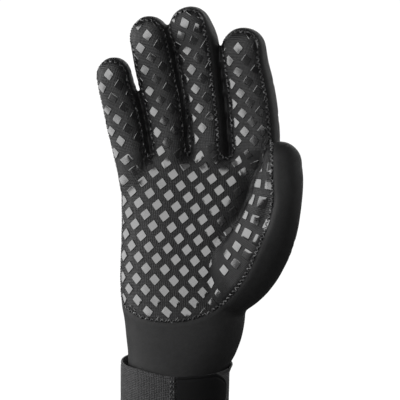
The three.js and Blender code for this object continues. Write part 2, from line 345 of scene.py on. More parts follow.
def ring_edges(bm, centre, side, front, half_side, half_front, power, sides):
    """One oval ring of a loft, as its edges."""
    verts = bmesh.ops.create_circle(bm, segments=sides, radius=1.0)["verts"]
    for vert in verts:
        across, deep = bent(vert.co.x, power) * half_side, bent(vert.co.y, power) * half_front
        vert.co = Vector(centre) + Vector(side) * across - Vector(front) * deep
    return edges_of(verts)


def close_loft(bm, rings):
    for low, high in zip(rings[:-1], rings[1:]):
        bmesh.ops.bridge_loops(bm, edges=low + high)
    for end in (rings[0], rings[-1]):
        bmesh.ops.contextual_create(bm, geom=end)


def loft_digit(bm, name):
    path = PATHS[name]
    rings = []
    stops = [(at, 1.0) for at in path["at"]]
    for k in range(1, DOME_RINGS + 1):
        t = k / (DOME_RINGS + 0.4) * math.pi / 2
        stops.append((path["at"][-1] + path["dome"] * math.sin(t), math.cos(t)))
    for at, share in stops:
        centre, side, front, half_side, half_front = station(path, at)
        rings.append(ring_edges(bm, centre, side, front, half_side * share, half_front * share,
                                path["power"], DIGIT_SIDES))
    close_loft(bm, rings)


def loft_palm(bm):
    rings = []
    rows = [(MOUTH_OVERRUN, *PALM_SMOOTH[0][1:])] + [tuple(row) for row in PALM_SMOOTH]
    for z, x, y, half_side, half_front, power in rows:
        rings.append(ring_edges(
            bm, (x, y, z), (1, 0, 0), (0, -1, 0), half_side, half_front, power, PALM_SIDES))
    close_loft(bm, rings)


def positions(verts):
    return np.array([vert.co for vert in verts])


def voxel_skin():
    """The outer face of the whole skin as one even mesh, open at the cuff's mouth."""
    bm = bmesh.new()
    loft_palm(bm)
    for name in DIGITS:
        loft_digit(bm, name)
    bmesh.ops.recalc_face_normals(bm, faces=bm.faces)
    mesh = bpy.data.meshes.new("skin_form")
    bm.to_mesh(mesh)
    bm.free()
    form = bpy.data.objects.new("skin_form", mesh)
    bpy.context.collection.objects.link(form)
    remesh = form.modifiers.new("remesh", "REMESH")
    remesh.mode = "VOXEL"
    remesh.voxel_size = VOXEL
    skin = bmesh.new()
    skin.from_object(form, bpy.context.evaluated_depsgraph_get())
    bpy.data.objects.remove(form)
    bpy.data.meshes.remove(mesh)
    return skin


def relax_folds(skin):
    """Rounds the webs, the thumb's fold and its root, and then the whole skin a little."""
    every = list(skin.verts)
    points = positions(every)
    for passes, *ranges in ROUNDED:
        low, high = np.array(ranges).T
        inside = ((points > low) & (points < high)).all(axis=1)
        chosen = [vert for vert, take in zip(every, inside) if take]
        for _ in range(passes):
            bmesh.ops.smooth_vert(skin, verts=chosen, factor=0.5, use_axis_x=True, use_axis_y=True,
                                  use_axis_z=True)


def joint_creases(points):
    """How far the skin is pressed in where it creases: across the joints, mostly behind."""
    depth = np.zeros(len(points))
    for name, joints in JOINTS.items():
        where = on_digit(name, points)
        angle = np.arctan2(where["across"], where["out"])
        share = 1.0 - CREASE_FADE_IN_FRONT * (np.cos(angle) > CREASE_BEHIND)
        for at, lines, strength in joints:
            for k in range(lines):
                wander = CREASE_WANDER * np.sin(angle * 3.0 + at + k * 1.7)
                line = at + (k - (lines - 1) / 2) * CREASE_APART + wander
                crease = np.exp(-((where["at"] - line) / CREASE_HALF_WIDTH) ** 2)
                depth += strength * share * crease * (where["reach"] < CREASE_WITHIN)
    return depth


def faded(points, fade, behind_y):
    """Where a fold is pressed in: it fades at both of its ends and stays in front."""
    return between(fade, points[:, 2]) * (points[:, 1] < behind_y)


def thumb_fold(points):
    """How far the palm is pressed in beside the thumb: a slope down to the fold, then a steep wall."""
    signed = -beside(points, FOLD_SMOOTH)
    palm_side = np.clip(1 - signed / FOLD_REACH, 0, 1) ** FOLD_SLOPE
    wall = (1 + FOLD_SWELL) * np.exp(-(signed / FOLD_WALL) ** 2)
    thumb_side = wall - FOLD_SWELL * np.exp(-(signed / FOLD_SWELL_REACH) ** 2)
    return FOLD_DEPTH * np.where(signed > 0, palm_side, thumb_side) * faded(points, FOLD_FADE, FOLD_BEHIND_Y)


def thumb_hollow(points):
    """How far the thumb's front is pressed in beside its seam, where the cloth is drawn tight."""
    hollow = np.exp(-(beside(points, HOLLOW_SMOOTH) / HOLLOW_REACH) ** 2)
    return HOLLOW_DEPTH * hollow * faded(points, HOLLOW_FADE, HOLLOW_BEHIND_Y)


def shape_skin(skin):
    """Presses the creases, the thumb's fold and the sewn groove into the skin."""
    skin.normal_update()
    every = list(skin.verts)
    points = positions(every)
    field = np.abs(seam_field(points))
    g = SEAM_GROOVE
    groove = g["depth"] * np.exp(-(field / g["reach"]) ** 2)
    groove = groove - g["shoulder"] * np.exp(-((field - g["shoulder_at"]) / g["shoulder_reach"]) ** 2)
    press = joint_creases(points) + groove + thumb_fold(points) + thumb_hollow(points)
    for vert, depth in zip(every, press):
        vert.co -= vert.normal * float(depth)
    for vert in every:
        vert.co += vert.normal * sum(noise.noise(vert.co * scale) * depth for scale, depth in UNEVEN)


def cut_away(bm, spot, normal, near, **side):
    """Cuts a bmesh with a plane and clears the side named."""
    everything = [*bm.verts, *bm.edges, *bm.faces]
    bmesh.ops.bisect_plane(bm, geom=everything, dist=near, plane_co=spot, plane_no=normal, **side)


def split_at_seam(skin):
    """Cuts the skin's faces along the seam, and gives each vertex its distance from it."""
    level = skin.verts.layers.float.new("seam")
    every = list(skin.verts)
    for vert, value in zip(every, seam_field(positions(every))):
        vert[level] = value
    for vert in every:
        if abs(vert[level]) < SEAM_SNAP:
            vert[level] = 0.0
    crossed = [edge for edge in skin.edges if edge.verts[0][level] * edge.verts[1][level] < 0]
    for edge in crossed:
        start, end = edge.verts
        share = start[level] / (start[level] - end[level])
        _, vert = bmesh.utils.edge_split(edge, start, share)
        vert[level] = 0.0
    bmesh.ops.connect_verts(skin, verts=[vert for vert in skin.verts if vert[level] == 0.0])


def panel(skin, palm_side):
    """One of the two panels, its edge drawn back from the seam."""
    piece = skin.copy()
    level = piece.verts.layers.float["seam"]
    wrong = []
    for face in piece.faces:
        middle = sum(vert[level] for vert in face.verts)
        if (middle < 0) != palm_side:
            wrong.append(face)
    bmesh.ops.delete(piece, geom=wrong, context="FACES")
    keep_largest_part(piece)
    for vert in piece.verts:
        if vert.is_boundary and abs(vert[level]) < 0.01:
            inner = [e.other_vert(vert).co for e in vert.link_edges if not e.is_boundary]
            if inner:
                pull = sum(inner, Vector()) / len(inner) - vert.co
                vert.co += pull.normalized() * SEAM_CLEARANCE if pull.length else Vector()
    return piece


def keep_largest_part(bm):
    """Deletes all but the largest connected part."""
    left = set(bm.faces)
    parts = []
    while left:
        part = [left.pop()]
        for face in part:
            for other in [other for edge in face.edges for other in edge.link_faces]:
                if other in left:
                    left.remove(other)
                    part.append(other)
        parts.append(part)
    for part in sorted(parts, key=len)[:-1]:
        bmesh.ops.delete(bm, geom=part, context="FACES")


def cloth_lines(bm):
    """Stores each vertex's place on the flat cloth, in millimetres, for the knit to follow."""
    u, v = cloth_place(positions(bm.verts))
    layer = bm.verts.layers.float_vector.new("cloth")
    for vert, a, b in zip(bm.verts, u, v):
        vert[layer] = (a, b, 0.0)


def cloth_place(points):
    """Lengths across and along the cloth: round the palm, and round each digit beyond its root."""
    middle, _, half_x, half_y, _ = palm_section(points[:, 2])
    u = np.arctan2((points[:, 0] - middle) / half_x, -points[:, 1] / half_y) * (half_x + half_y) / 2
    v = points[:, 2].copy()
    found = {name: on_digit(name, points) for name in DIGITS}
    reach = np.stack([found[name]["reach"] for name in DIGITS])
    for k, name in enumerate(DIGITS):
        place = found[name]
        mine = (reach.argmin(axis=0) == k) & (place["reach"] < KNIT_WITHIN)
        share = blend(*(THUMB_KNIT_FROM if name == "thumb" else FINGER_KNIT_FROM), place["at"]) * mine
        around = np.arctan2(place["across"], place["out"]) * place["half_side"]
        u = u * (1 - share) + (around + PATHS[name]["centre"][-1][0]) * share
        v = v * (1 - share) + (place["at"] + PATHS[name]["centre"][0][2]) * share
    return u, v


def merge_into(whole, bm):
    """Adds a small bmesh to a whole one and frees it."""
    mesh = bpy.data.meshes.new("small_part")
    bm.to_mesh(mesh)
    bm.free()
    whole.from_mesh(mesh)
    bpy.data.meshes.remove(mesh)


def make_piece(name, bm, material, sharp=None):
    """Writes a bmesh in millimetres as an object in metres that rides on the glove."""
    mesh = bpy.data.meshes.new(name)
    bm.to_mesh(mesh)
    bm.free()
    mesh.transform(Matrix.Scale(MM, 4))
    for polygon in mesh.polygons:
        polygon.use_smooth = True
    if sharp is not None:
        mesh.set_sharp_from_angle(angle=math.radians(sharp))
    mesh.materials.append(material)
    piece = bpy.data.objects.new(name, mesh)
    bpy.context.collection.objects.link(piece)
    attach(piece, "root")
    return piece


def thicken(piece):
    """Gives a panel its wall, inwards from its outer face."""
    solidify = piece.modifiers.new("wall", "SOLIDIFY")
    solidify.thickness = WALL * MM
    solidify.offset = -1.0


# Raised print: squares standing on a corner, in columns and rows that follow the cloth.
PRINT_HEIGHT = 0.4
PRINT_HALF_WIDE = 3.22
PRINT_HALF_TALL = 3.6
FINGER_SQUARE = (0.935, 0.97)
PRINT_CELLS = 4
PRINT_CORNER = 0.975
# The rounded rim's steps: how far each goes out and down.
PRINT_RIM = ((0.22, 0.12), (0.14, 0.6))
PRINT_REACH = 7.0
PRINT_APART = 6.6
PRINT_PAST_SEAM = 2.5
# A square that the seam crosses ends this far from it, and is left out where that end would lie further
# inside its middle than this share of its half width.
PRINT_FROM_SEAM = 0.35
PRINT_CUT_MOST = 0.55
# Where the distance to the seam hardly changes over a square, only its middle's distance counts.
EVEN_SLOPE = 0.05
EVEN_DISTANCE = -1.5
# How far the skin may turn under a square of the palm or a finger, and of the thumb, as a cosine.
PRINT_EVEN = (0.7, -1.0)
PRINT_ORDER = {"thumb": 0, "palm": 1, "little": 2, "ring": 2, "middle": 2, "first": 2}
PALM_PRINT = {"u": -11.62, "z": 169.26, "column": 5.907, "row": 6.329, "tilt": -0.655, "fan": -0.0393,
              "lean": 1.268, "bow": 0.1326, "twist": 0.00154, "sag": -0.00765}
PALM_COLUMNS, PALM_ROWS = range(-9, 16), range(-16, 6)
PALM_PRINT_TOP = 196.0
# Over the fingers' roots the palm's squares keep the depth that the palm has at this height.
PALM_DEPTH_TOP = 178.0
# The print of each finger: its middle column's place across the pad, lean and bend, then a square's place
# along the digit, half a step between the squares of a column, how the steps grow, the columns' distance.
FINGER_PRINT = {
    "little": (-6.31, 0.047, 0, 41.5, 6.95, 0.032, 5.73),
    "ring": (-3.44, 0.004, 0, 39.5, 6.7, 0.015, 5.8),
    "middle": (-0.82, -0.049, -0.0004, 80.5, 6.29, -0.029, 5.84),
    "first": (-8.4, -0.014, 0.002, 36.6, 5.12, 0.118, 5.55),
}
FINGER_COLUMNS, FINGER_ROWS = range(-4, 6), range(-9, 16)
FINGER_LEAN_FROM = 64.3
FINGER_PRINT_FROM = 39.0
FINGER_PRINT_REACH = 17.0
THUMB_PRINT = {"across": -1.0, "column": 8.4, "at": 93.4, "row": 9.6, "half": 2.6, "bow": -0.33,
               "left_from": -3, "top_shift": 1.9}
THUMB_COLUMNS, THUMB_ROWS = range(-1, 2), range(-7, 3)
ARC_ANGLES = np.radians(np.linspace(-110, 110, 89))
DOME_LEAST = 0.02


def oval_at(u, half_side, half_front, power):
    """Offsets to the side and to the front of the point at an arc length u from an oval's front."""
    sine, cosine = np.sin(ARC_ANGLES), np.cos(ARC_ANGLES)
    across = half_side * np.sign(sine) * np.abs(sine) ** (2 / power)
    out = half_front * np.sign(cosine) * np.abs(cosine) ** (2 / power)
    arc = np.concatenate([[0], np.cumsum(np.hypot(np.diff(across), np.diff(out)))])
    arc = arc - arc[len(arc) // 2]
    return float(np.interp(u, arc, across)), float(np.interp(u, arc, out))


def palm_spot(u, z):
    """The point on the palm at an arc length across it and a height."""
    x, y, half_side, half_front, power = palm_section(min(z, PALM_DEPTH_TOP))
    across, out = oval_at(u, half_side, half_front, power)
    return Vector((x + across, y - out, z))


def digit_spot(name, u, at):
    """The point on a digit's form at an arc length across its pad and a length along it."""
    path = PATHS[name]
    centre, side, front, half_side, half_front = station(path, at)
    past = max(float(at - path["at"][-1]), 0.0)
    share = math.sqrt(max(1 - (past / path["dome"]) ** 2, DOME_LEAST))
    across, out = oval_at(u, half_side * share, half_front * share, path["power"])
    return Vector(centre) + Vector(side) * across + Vector(front) * out


def paired(columns, rows):
    """The places of a print whose squares stand in every other column of a row."""
    return [(m, n) for m in columns for n in rows if (m + n) % 2 == 0]


def finger_sites(name):
    start, lean, bend, first, row, growth, column_step = FINGER_PRINT[name]
    half = (PRINT_HALF_WIDE * FINGER_SQUARE[0], PRINT_HALF_TALL * FINGER_SQUARE[1])
    sites = []
    for m, n in paired(FINGER_COLUMNS, FINGER_ROWS):
        at = first + row * n + growth * n * n
        past = at - FINGER_LEAN_FROM
        u = start + lean * past + bend * past ** 2 + column_step * m
        if at >= FINGER_PRINT_FROM and abs(u) <= FINGER_PRINT_REACH:
            sites.append((name, half, lambda a, b, u=u, at=at: digit_spot(name, u + a, at + b)))
    return sites


def palm_sites():
    p = PALM_PRINT
    half = (PRINT_HALF_WIDE, PRINT_HALF_TALL)
    sites = []
    for m, n in paired(PALM_COLUMNS, PALM_ROWS):
        u = p["u"] + p["column"] * m + p["lean"] * n + p["bow"] * n ** 2 + p["twist"] * n ** 3
        z = p["z"] + p["tilt"] * m + p["row"] * n + p["fan"] * m * n + p["sag"] * n ** 2
        if z > PALM_PRINT_TOP:
            continue
        wide = Vector((p["column"], p["tilt"] + p["fan"] * n)).normalized()
        drift = p["lean"] + 2 * p["bow"] * n + 3 * p["twist"] * n ** 2
        tall = Vector((drift, p["row"] + p["fan"] * m)).normalized()
        sites.append(("palm", half, lambda a, b, u=u, z=z, wide=wide, tall=tall:
                      palm_spot(u + wide.x * a + tall.x * b, z + wide.y * a + tall.y * b)))
    return sites


def thumb_sites():
    """The thumb's squares, which stand upright in straight columns."""
    p = THUMB_PRINT
    turned = math.sqrt(0.5)
    half = (p["half"] / turned, p["half"] / turned)
    sites = []
    for m in THUMB_COLUMNS:
        for n in THUMB_ROWS:
            if m < 0 and n < p["left_from"]:
                continue
            u = p["across"] + p["column"] * m + p["bow"] * min(n, 0) ** 2 + p["top_shift"] * (n >= 0)
            at = p["at"] + p["row"] * n
            sites.append(("thumb", half, lambda a, b, u=u, at=at:
                          digit_spot("thumb", u + (a + b) * turned, at + (b - a) * turned)))
    return sites


def print_sites():
    """Each square of the print as a function from its own flat place to a point near the skin."""
    sites = [site for name in FINGERS for site in finger_sites(name)]
    return sites + palm_sites() + thumb_sites()


def unit_square():
    """A square on its corner with rounded corners, cut into small cells, in a bmesh."""
    bm = bmesh.new()
    bmesh.ops.create_grid(bm, x_segments=PRINT_CELLS, y_segments=PRINT_CELLS, size=1.0)
    for vert in bm.verts:
        if abs(vert.co.x) > 0.99 and abs(vert.co.y) > 0.99:
            vert.co *= PRINT_CORNER
    bmesh.ops.rotate(bm, verts=bm.verts, cent=(0, 0, 0), matrix=Matrix.Rotation(math.pi / 4, 3, "Z"))
    bmesh.ops.scale(bm, verts=bm.verts, vec=Vector((math.sqrt(0.5), math.sqrt(0.5), 1)))
    return bm


def place_print(tree):
    """All squares of the print, each laid on the skin, cut at the seam and raised with a rounded rim."""
    whole = bmesh.new()
    taken = []
    square = unit_square()
    sites = print_sites()
    middles = [place(0.0, 0.0) for _, _, place in sites]
    fields = seam_field(np.array(middles))
    found = sorted(zip(sites, middles, fields), key=lambda item: PRINT_ORDER[item[0][0]])
    for (region, (wide, tall), place), middle, field in found:
        if field > PRINT_PAST_SEAM:
            continue
        spot, normal, _, gap = tree.find_nearest(middle)
        if gap > PRINT_REACH or any((spot - other).length < PRINT_APART for other in taken):
            continue
        corners = ((wide, 0), (-wide, 0), (0, tall), (0, -tall))
        around = [tree.find_nearest(place(a, b))[1] for a, b in corners]
        if min(normal.dot(other) for other in around) < PRINT_EVEN[region == "thumb"]:
            continue
        piece = square.copy()
        for vert in piece.verts:
            vert.co = Vector((vert.co.x * wide, vert.co.y * tall, 0))
        if not cut_at_seam(piece, place, wide, tall):
            piece.free()
            continue
        taken.append(spot)
        raise_square(piece, place, tree)
        merge_into(whole, piece)
    square.free()
    bmesh.ops.recalc_face_normals(whole, faces=whole.faces)
    face_outwards(whole, tree)
    return whole


def raise_square(piece, place, tree):
    """Gives a flat square its rounded rim and lays it on the skin."""
    rim = [edge for edge in piece.edges if edge.is_boundary]
    drop = {vert: 0.0 for vert in piece.verts}
    below = 0.0
    for out, down in PRINT_RIM:
        made = bmesh.ops.extrude_edge_only(piece, edges=rim)["geom"]
        rim = [item for item in made if isinstance(item, bmesh.types.BMEdge)]
        below += down
        for vert in made:
            if isinstance(vert, bmesh.types.BMVert):
                drop[vert] = below
                vert.co += vert.co.normalized() * out
    for vert in piece.verts:
        point, normal, _, _ = tree.find_nearest(place(vert.co.x, vert.co.y))
        vert.co = point + normal * (PRINT_HEIGHT - drop[vert])


def face_outwards(bm, tree):
    bm.normal_update()
    for face in bm.faces:
        _, normal, _, _ = tree.find_nearest(face.calc_center_median())
        if face.normal.dot(normal) < -0.2:
            face.normal_flip()


def cut_at_seam(piece, place, wide, tall):
    """Cuts a flat square where the skin's seam crosses it; says whether enough of it is left."""
    corners = [(0.0, 0.0), (wide, 0.0), (-wide, 0.0), (0.0, tall), (0.0, -tall)]
    values = seam_field(np.array([place(a, b) for a, b in corners]))
    if values.max() < -SEAM_CLEARANCE:
        return True
    slope = Vector(((values[1] - values[2]) / (2 * wide), (values[3] - values[4]) / (2 * tall), 0))
    if slope.length < EVEN_SLOPE:
        return values[0] < EVEN_DISTANCE
    edge = -slope.normalized() * ((values[0] + PRINT_FROM_SEAM) / slope.length)
    if slope.normalized().dot(edge) < -wide * PRINT_CUT_MOST:
        return False
    cut_away(piece, edge, slope.normalized(), near=0.01, clear_outer=True)
    return len(piece.faces) > 3


# Seam stitches
STITCH_STEP = 1.55
STITCH_IN = 1.35
STITCH_OUT = 0.95
STITCH_SPREAD = 0.12
STITCH_LIFT = 0.25
SEAM_PASSES = 16
THREAD = 0.4
THREAD_SIDES = 6
THREAD_RINGS = 5
# How deep a stitch's ends go in, in threads, and how sharply they turn down.
THREAD_SINK = 1.5
THREAD_TURN = 5


def seam_loop(palm):
    """The palm panel's edge as ordered points, evenly spaced and smoothed."""
    loop = []
    ahead = [min((vert for vert in palm.verts if vert.is_boundary), key=lambda vert: vert.co.z)]
    while ahead:
        here = ahead[0]
        loop.append(here)
        beside_it = [edge.other_vert(here) for edge in here.link_edges if edge.is_boundary]
        ahead = [vert for vert in beside_it if vert not in loop]
    points = np.array([vert.co for vert in loop])
    for _ in range(SEAM_PASSES):
        points = (np.roll(points, 1, 0) + 2 * points + np.roll(points, -1, 0)) / 4
    closed = np.vstack([points, points[:1]])
    at = np.concatenate([[0], np.cumsum(np.linalg.norm(np.diff(closed, axis=0), axis=1))])
    count = int(at[-1] / STITCH_STEP)
    spots = np.linspace(0, at[-1], count, endpoint=False)
    return np.stack([np.interp(spots, at, closed[:, k]) for k in range(3)], axis=1)


def straight_thread():
    """A closed round thread of unit length and radius, its rings evenly spaced."""
    bm = bmesh.new()
    rings = []
    for k in range(THREAD_RINGS + 1):
        verts = bmesh.ops.create_circle(bm, segments=THREAD_SIDES, radius=1.0)["verts"]
        bmesh.ops.translate(bm, verts=verts, vec=(0, 0, k / THREAD_RINGS))
        rings.append(edges_of(verts))
    close_loft(bm, rings)
    bmesh.ops.recalc_face_normals(bm, faces=bm.faces)
    return bm


def add_thread(whole, pattern, start, end, tree, lift):
    """One stitch of thread, laid over the cloth from start to end, its ends pulled in."""
    bm = pattern.copy()
    run = (end - start).normalized()
    steps = []
    for k in range(THREAD_RINGS + 1):
        t = k / THREAD_RINGS
        point, normal, _, _ = tree.find_nearest(start.lerp(end, t))
        sink = THREAD * THREAD_SINK * abs(2 * t - 1) ** THREAD_TURN
        height = THREAD * 0.5 + lift * math.sin(math.pi * t) - sink
        across = run.cross(normal).normalized()
        steps.append((point + normal * height, across * THREAD, across.cross(run).normalized() * THREAD))
    for vert in bm.verts:
        middle, across, out = steps[round(vert.co.z * THREAD_RINGS)]
        vert.co = middle + across * vert.co.x + out * vert.co.y
    merge_into(whole, bm)


def seam_stitches(palm, tree):
    """Zigzag stitches over the seam all the way round the palm panel."""
    points = seam_loop(palm)
    whole = bmesh.new()
    pattern = straight_thread()
    count = len(points)
    middles = [Vector(point) for point in points]
    normals = [tree.find_nearest(point)[1] for point in middles]
    across = []
    for k in range(count):
        run = (middles[(k + 1) % count] - middles[k - 1]).normalized()
        across.append(normals[k].cross(run).normalized())
    inward = seam_field(np.array([m + a for m, a in zip(middles, across)]))
    outward = seam_field(np.array([m - a for m, a in zip(middles, across)]))
    across = [-a if low > high else a for a, low, high in zip(across, inward, outward)]
    for k in range(count):
        ahead = (k + 1) % count
        inner = STITCH_IN + random.uniform(-STITCH_SPREAD, STITCH_SPREAD)
        outer = STITCH_OUT + random.uniform(-STITCH_SPREAD, STITCH_SPREAD)
        first, second = (inner, -outer) if k % 2 else (-outer, inner)
        start, end = middles[k] + across[k] * first, middles[ahead] + across[ahead] * second
        add_thread(whole, pattern, start, end, tree, STITCH_LIFT)
    pattern.free()
    return whole


# Strap and tab, as in the solids
STRAP_THICKNESS = 1.6
STRAP_WIDTH = 40.0
STRAP_MIDDLE_Z = 38.5
STRAP_SLOPE_DROP = 0.235 * 24
STRAP_SIDE_RISE = 3.0
STRAP_SIDE_SPAN = ((190, 250), (310, 365))
STRAP_SPAN = (-8, 358.9)
STRAP_STEP = 2.5
STRAP_CLEARANCE = 0.4
STRAP_LOOSE = 0.9
STRAP_LOOSE_SPAN = ((200, 270), (270, 340))
SPIRAL = 1.9
SPIRAL_SPAN = (70, 330)
TAB_LIFT = STRAP_CLEARANCE + SPIRAL
BAND_SIDES = 64
BAND_EDGE_POWER = 6.0
BAND_GROOVE = 0.5
SELVEDGE = 1.9
SELVEDGE_HALF_WIDTH = 0.45
TAB_ROUND = {"x": 16, "z": 47, "across": 15, "above": 8.6, "below": 34, "power": 2.2}
TAB_OVERLAP = 0.2
TAB_STEP = 1.0
# The rows of stitches that hold the tab to the strap's end: their angles, the stitches' length, gap and
# lift, and how far from the strap's lower and upper edge a row starts and ends.
STITCH_ROWS = (354.6, 357.4)
ROW_STITCH = 2.4
ROW_GAP = 0.7
ROW_LIFT = 0.2
ROW_FROM_BELOW = 1.5
ROW_FROM_TOP = 1.0


def strap_lift(angle):
    """How far the strap stands off: it rises over its own start and is loose on the little finger's side."""
    loose = STRAP_LOOSE * between(STRAP_LOOSE_SPAN, angle)
    return STRAP_CLEARANCE + SPIRAL * blend(*SPIRAL_SPAN, angle) + loose


def strap_middle(angle):
    """Height of the strap's middle line at an angle from the palm side towards the thumb side."""
    side = STRAP_SIDE_RISE * between(STRAP_SIDE_SPAN, angle)
    return STRAP_MIDDLE_Z - STRAP_SLOPE_DROP * math.cos(math.radians(angle)) + float(side)


def strap_point(angle, rise, out):
    t = math.radians(angle)
    z = strap_middle(angle) + rise
    x, y, half_side, half_front, power = palm_section(z, PALM)
    return Vector((x + (half_side + out) * bent(math.sin(t), power),
                   y - (half_front + out) * bent(math.cos(t), power), z))


def band(start, end, step, lift, edges, thickness):
    """A flat band round the wrist with rounded edges. Its lowest and highest rise come from edges."""
    bm = bmesh.new()
    place = bm.verts.layers.float_vector.new("cloth")
    rings = []
    steps = max(int((end - start) / step), 2)
    run, last = 0.0, None
    for i in range(steps + 1):
        angle = start + (end - start) * i / steps
        low, high = edges(angle)
        middle = strap_point(angle, 0, lift(angle))
        run += (middle - last).length if last else 0.0
        last = middle
        verts = bmesh.ops.create_circle(bm, segments=BAND_SIDES, radius=1.0)["verts"]
        for vert in verts:
            rise = (low + high) / 2 + (high - low) / 2 * bent(vert.co.x, BAND_EDGE_POWER)
            from_edge = min(rise - low, high - rise)
            groove = BAND_GROOVE * math.exp(-((from_edge - SELVEDGE) / SELVEDGE_HALF_WIDTH) ** 2)
            groove *= vert.co.y > 0
            out = thickness / 2 * (1 + bent(vert.co.y, BAND_EDGE_POWER)) - groove
            vert.co = strap_point(angle, rise, lift(angle) + out)
            vert[place] = (run, rise, out / thickness)
        rings.append(edges_of(verts))
    close_loft(bm, rings)
    bmesh.ops.recalc_face_normals(bm, faces=bm.faces)
    return bm


def strap_edges(_):
    return -STRAP_WIDTH / 2, STRAP_WIDTH / 2


def tab_edges(angle):
    """The tab's lowest and highest rise at an angle: it has the strap's height and closes to a round end."""
    middle = strap_point(angle, 0, TAB_LIFT + STRAP_THICKNESS)
    over = min(max((middle.x - TAB_ROUND["x"]) / TAB_ROUND["across"], 0.0), 1.0)
    share = (1 - over ** TAB_ROUND["power"]) ** (1 / TAB_ROUND["power"]) if over < 1 else 0.0
    top = min(TAB_ROUND["z"] + TAB_ROUND["above"] * share - middle.z, STRAP_WIDTH / 2)
    bottom = max(TAB_ROUND["z"] - TAB_ROUND["below"] * share - middle.z, -STRAP_WIDTH / 2)
    return bottom - TAB_OVERLAP, top + TAB_OVERLAP


def tab_end():
    """The angle at which the tab's round end closes."""
    angle = 60.0
    while strap_point(angle, 0, TAB_LIFT + STRAP_THICKNESS).x < TAB_ROUND["x"] + TAB_ROUND["across"]:
        angle += 0.25
    return angle


def strap_stitches(tree):
    """Two upright rows of stitches that hold the tab to the strap's end."""
    whole = bmesh.new()
    pattern = straight_thread()
    for angle in STITCH_ROWS:
        rise = -STRAP_WIDTH / 2 + ROW_FROM_BELOW
        lift = strap_lift(angle) + STRAP_THICKNESS
        while rise + ROW_STITCH < STRAP_WIDTH / 2 - ROW_FROM_TOP:
            start, end = strap_point(angle, rise, lift), strap_point(angle, rise + ROW_STITCH, lift)
            add_thread(whole, pattern, start, end, tree, ROW_LIFT)
            rise += ROW_STITCH + ROW_GAP
    pattern.free()
    return whole


# Materials
def maths(tree, operation, *values):
    """A Math node's output. Each value is a number or another node's output."""
    node = tree.nodes.new("ShaderNodeMath")
    node.operation = operation
    for place, value in zip(node.inputs, values):
        if isinstance(value, bpy.types.NodeSocket):
            tree.links.new(value, place)
        else:
            place.default_value = value
    return node.outputs[0]


def noise_texture(tree, place, scale, detail=2.0):
    node = tree.nodes.new("ShaderNodeTexNoise")
    node.noise_dimensions = "3D"
    node.inputs["Scale"].default_value = scale
    node.inputs["Detail"].default_value = detail
    tree.links.new(place, node.inputs["Vector"])
    return node.outputs["Fac"]


def map_range(tree, value, low, high, start=0.0, end=1.0):
    node = tree.nodes.new("ShaderNodeMapRange")
    for name, number in (("From Min", start), ("From Max", end), ("To Min", low), ("To Max", high)):
        node.inputs[name].default_value = number
    tree.links.new(value, node.inputs["Value"])
    return node.outputs["Result"]


def two_tones(tree, value, dark, light, start=0.0, end=1.0):
    """A ramp between two colours, from one place of the value to another."""
    node = tree.nodes.new("ShaderNodeValToRGB")
    for stop, place, colour in zip(node.color_ramp.elements, (start, end), (dark, light)):
        stop.position = place
        stop.color = (*colour, 1)
    tree.links.new(value, node.inputs["Fac"])
    return node.outputs["Color"]


def bump(tree, height, strength, distance):
    """Relief for the shader's normal, its distance in millimetres."""
    node = tree.nodes.new("ShaderNodeBump")
    node.inputs["Strength"].default_value = strength
    node.inputs["Distance"].default_value = distance * MM
    tree.links.new(height, node.inputs["Height"])
    return node.outputs["Normal"]


SHADER_SOCKETS = {
    "colour": "Base Color", "roughness": "Roughness", "specular": "Specular IOR Level", "ior": "IOR",
    "sheen": "Sheen Weight", "sheen_roughness": "Sheen Roughness", "glow": "Emission Strength",
}


def new_material(name, **constants):
    """A material with its node tree and shader; constants set the shader's own sockets."""
    material = bpy.data.materials.new(name)
    material.use_nodes = True
    tree = material.node_tree
    shader = tree.nodes["Principled BSDF"]
    for key, value in constants.items():
        shader.inputs[SHADER_SOCKETS[key]].default_value = value
    return material, tree, shader


def object_place(tree):
    return tree.nodes.new("ShaderNodeTexCoord").outputs["Object"]


def cloth_group():
    """Knit or weave: a height from two crossing sets of yarn over the flat cloth, and a colour mask."""
    group = bpy.data.node_groups.new("yarn_relief", "ShaderNodeTree")
    sockets = (("Place", "INPUT", "Vector"), ("Yarn pitch", "INPUT", "Float"), ("Turn", "INPUT", "Float"),
               ("Height", "OUTPUT", "Float"), ("Mottle", "OUTPUT", "Float"))
    for name, way, kind in sockets:
        group.interface.new_socket(name, in_out=way, socket_type="NodeSocket" + kind)
    inputs, outputs = group.nodes.new("NodeGroupInput").outputs, group.nodes.new("NodeGroupOutput").inputs
    rotate = group.nodes.new("ShaderNodeVectorRotate")
    rotate.rotation_type = "Z_AXIS"
    group.links.new(inputs["Place"], rotate.inputs["Vector"])
    group.links.new(inputs["Turn"], rotate.inputs["Angle"])
    split = group.nodes.new("ShaderNodeSeparateXYZ")
    group.links.new(rotate.outputs["Vector"], split.inputs["Vector"])
    turns = maths(group, "DIVIDE", 2 * math.pi, inputs["Yarn pitch"])
    waves = [maths(group, "SINE", maths(group, "MULTIPLY", split.outputs[axis], turns)) for axis in "XY"]
    cross = maths(group, "MULTIPLY", *waves)
    grain = noise_texture(group, inputs["Place"], YARN_GRAIN_SCALE, detail=4.0)
    group.links.new(maths(group, "MULTIPLY_ADD", cross, YARN_HEIGHT, grain), outputs["Height"])
    mottle = noise_texture(group, inputs["Place"], MOTTLE_SCALE, detail=6.0)
    group.links.new(map_range(group, mottle, *MOTTLE_RANGE), outputs["Mottle"])
    return group


YARN_GRAIN_SCALE = 0.9
YARN_HEIGHT = 0.7
MOTTLE_SCALE = 0.3
MOTTLE_RANGE = (0.35, 0.65)
TONES_FROM = 0.42
TONES_TO = 0.58
YARN = cloth_group()


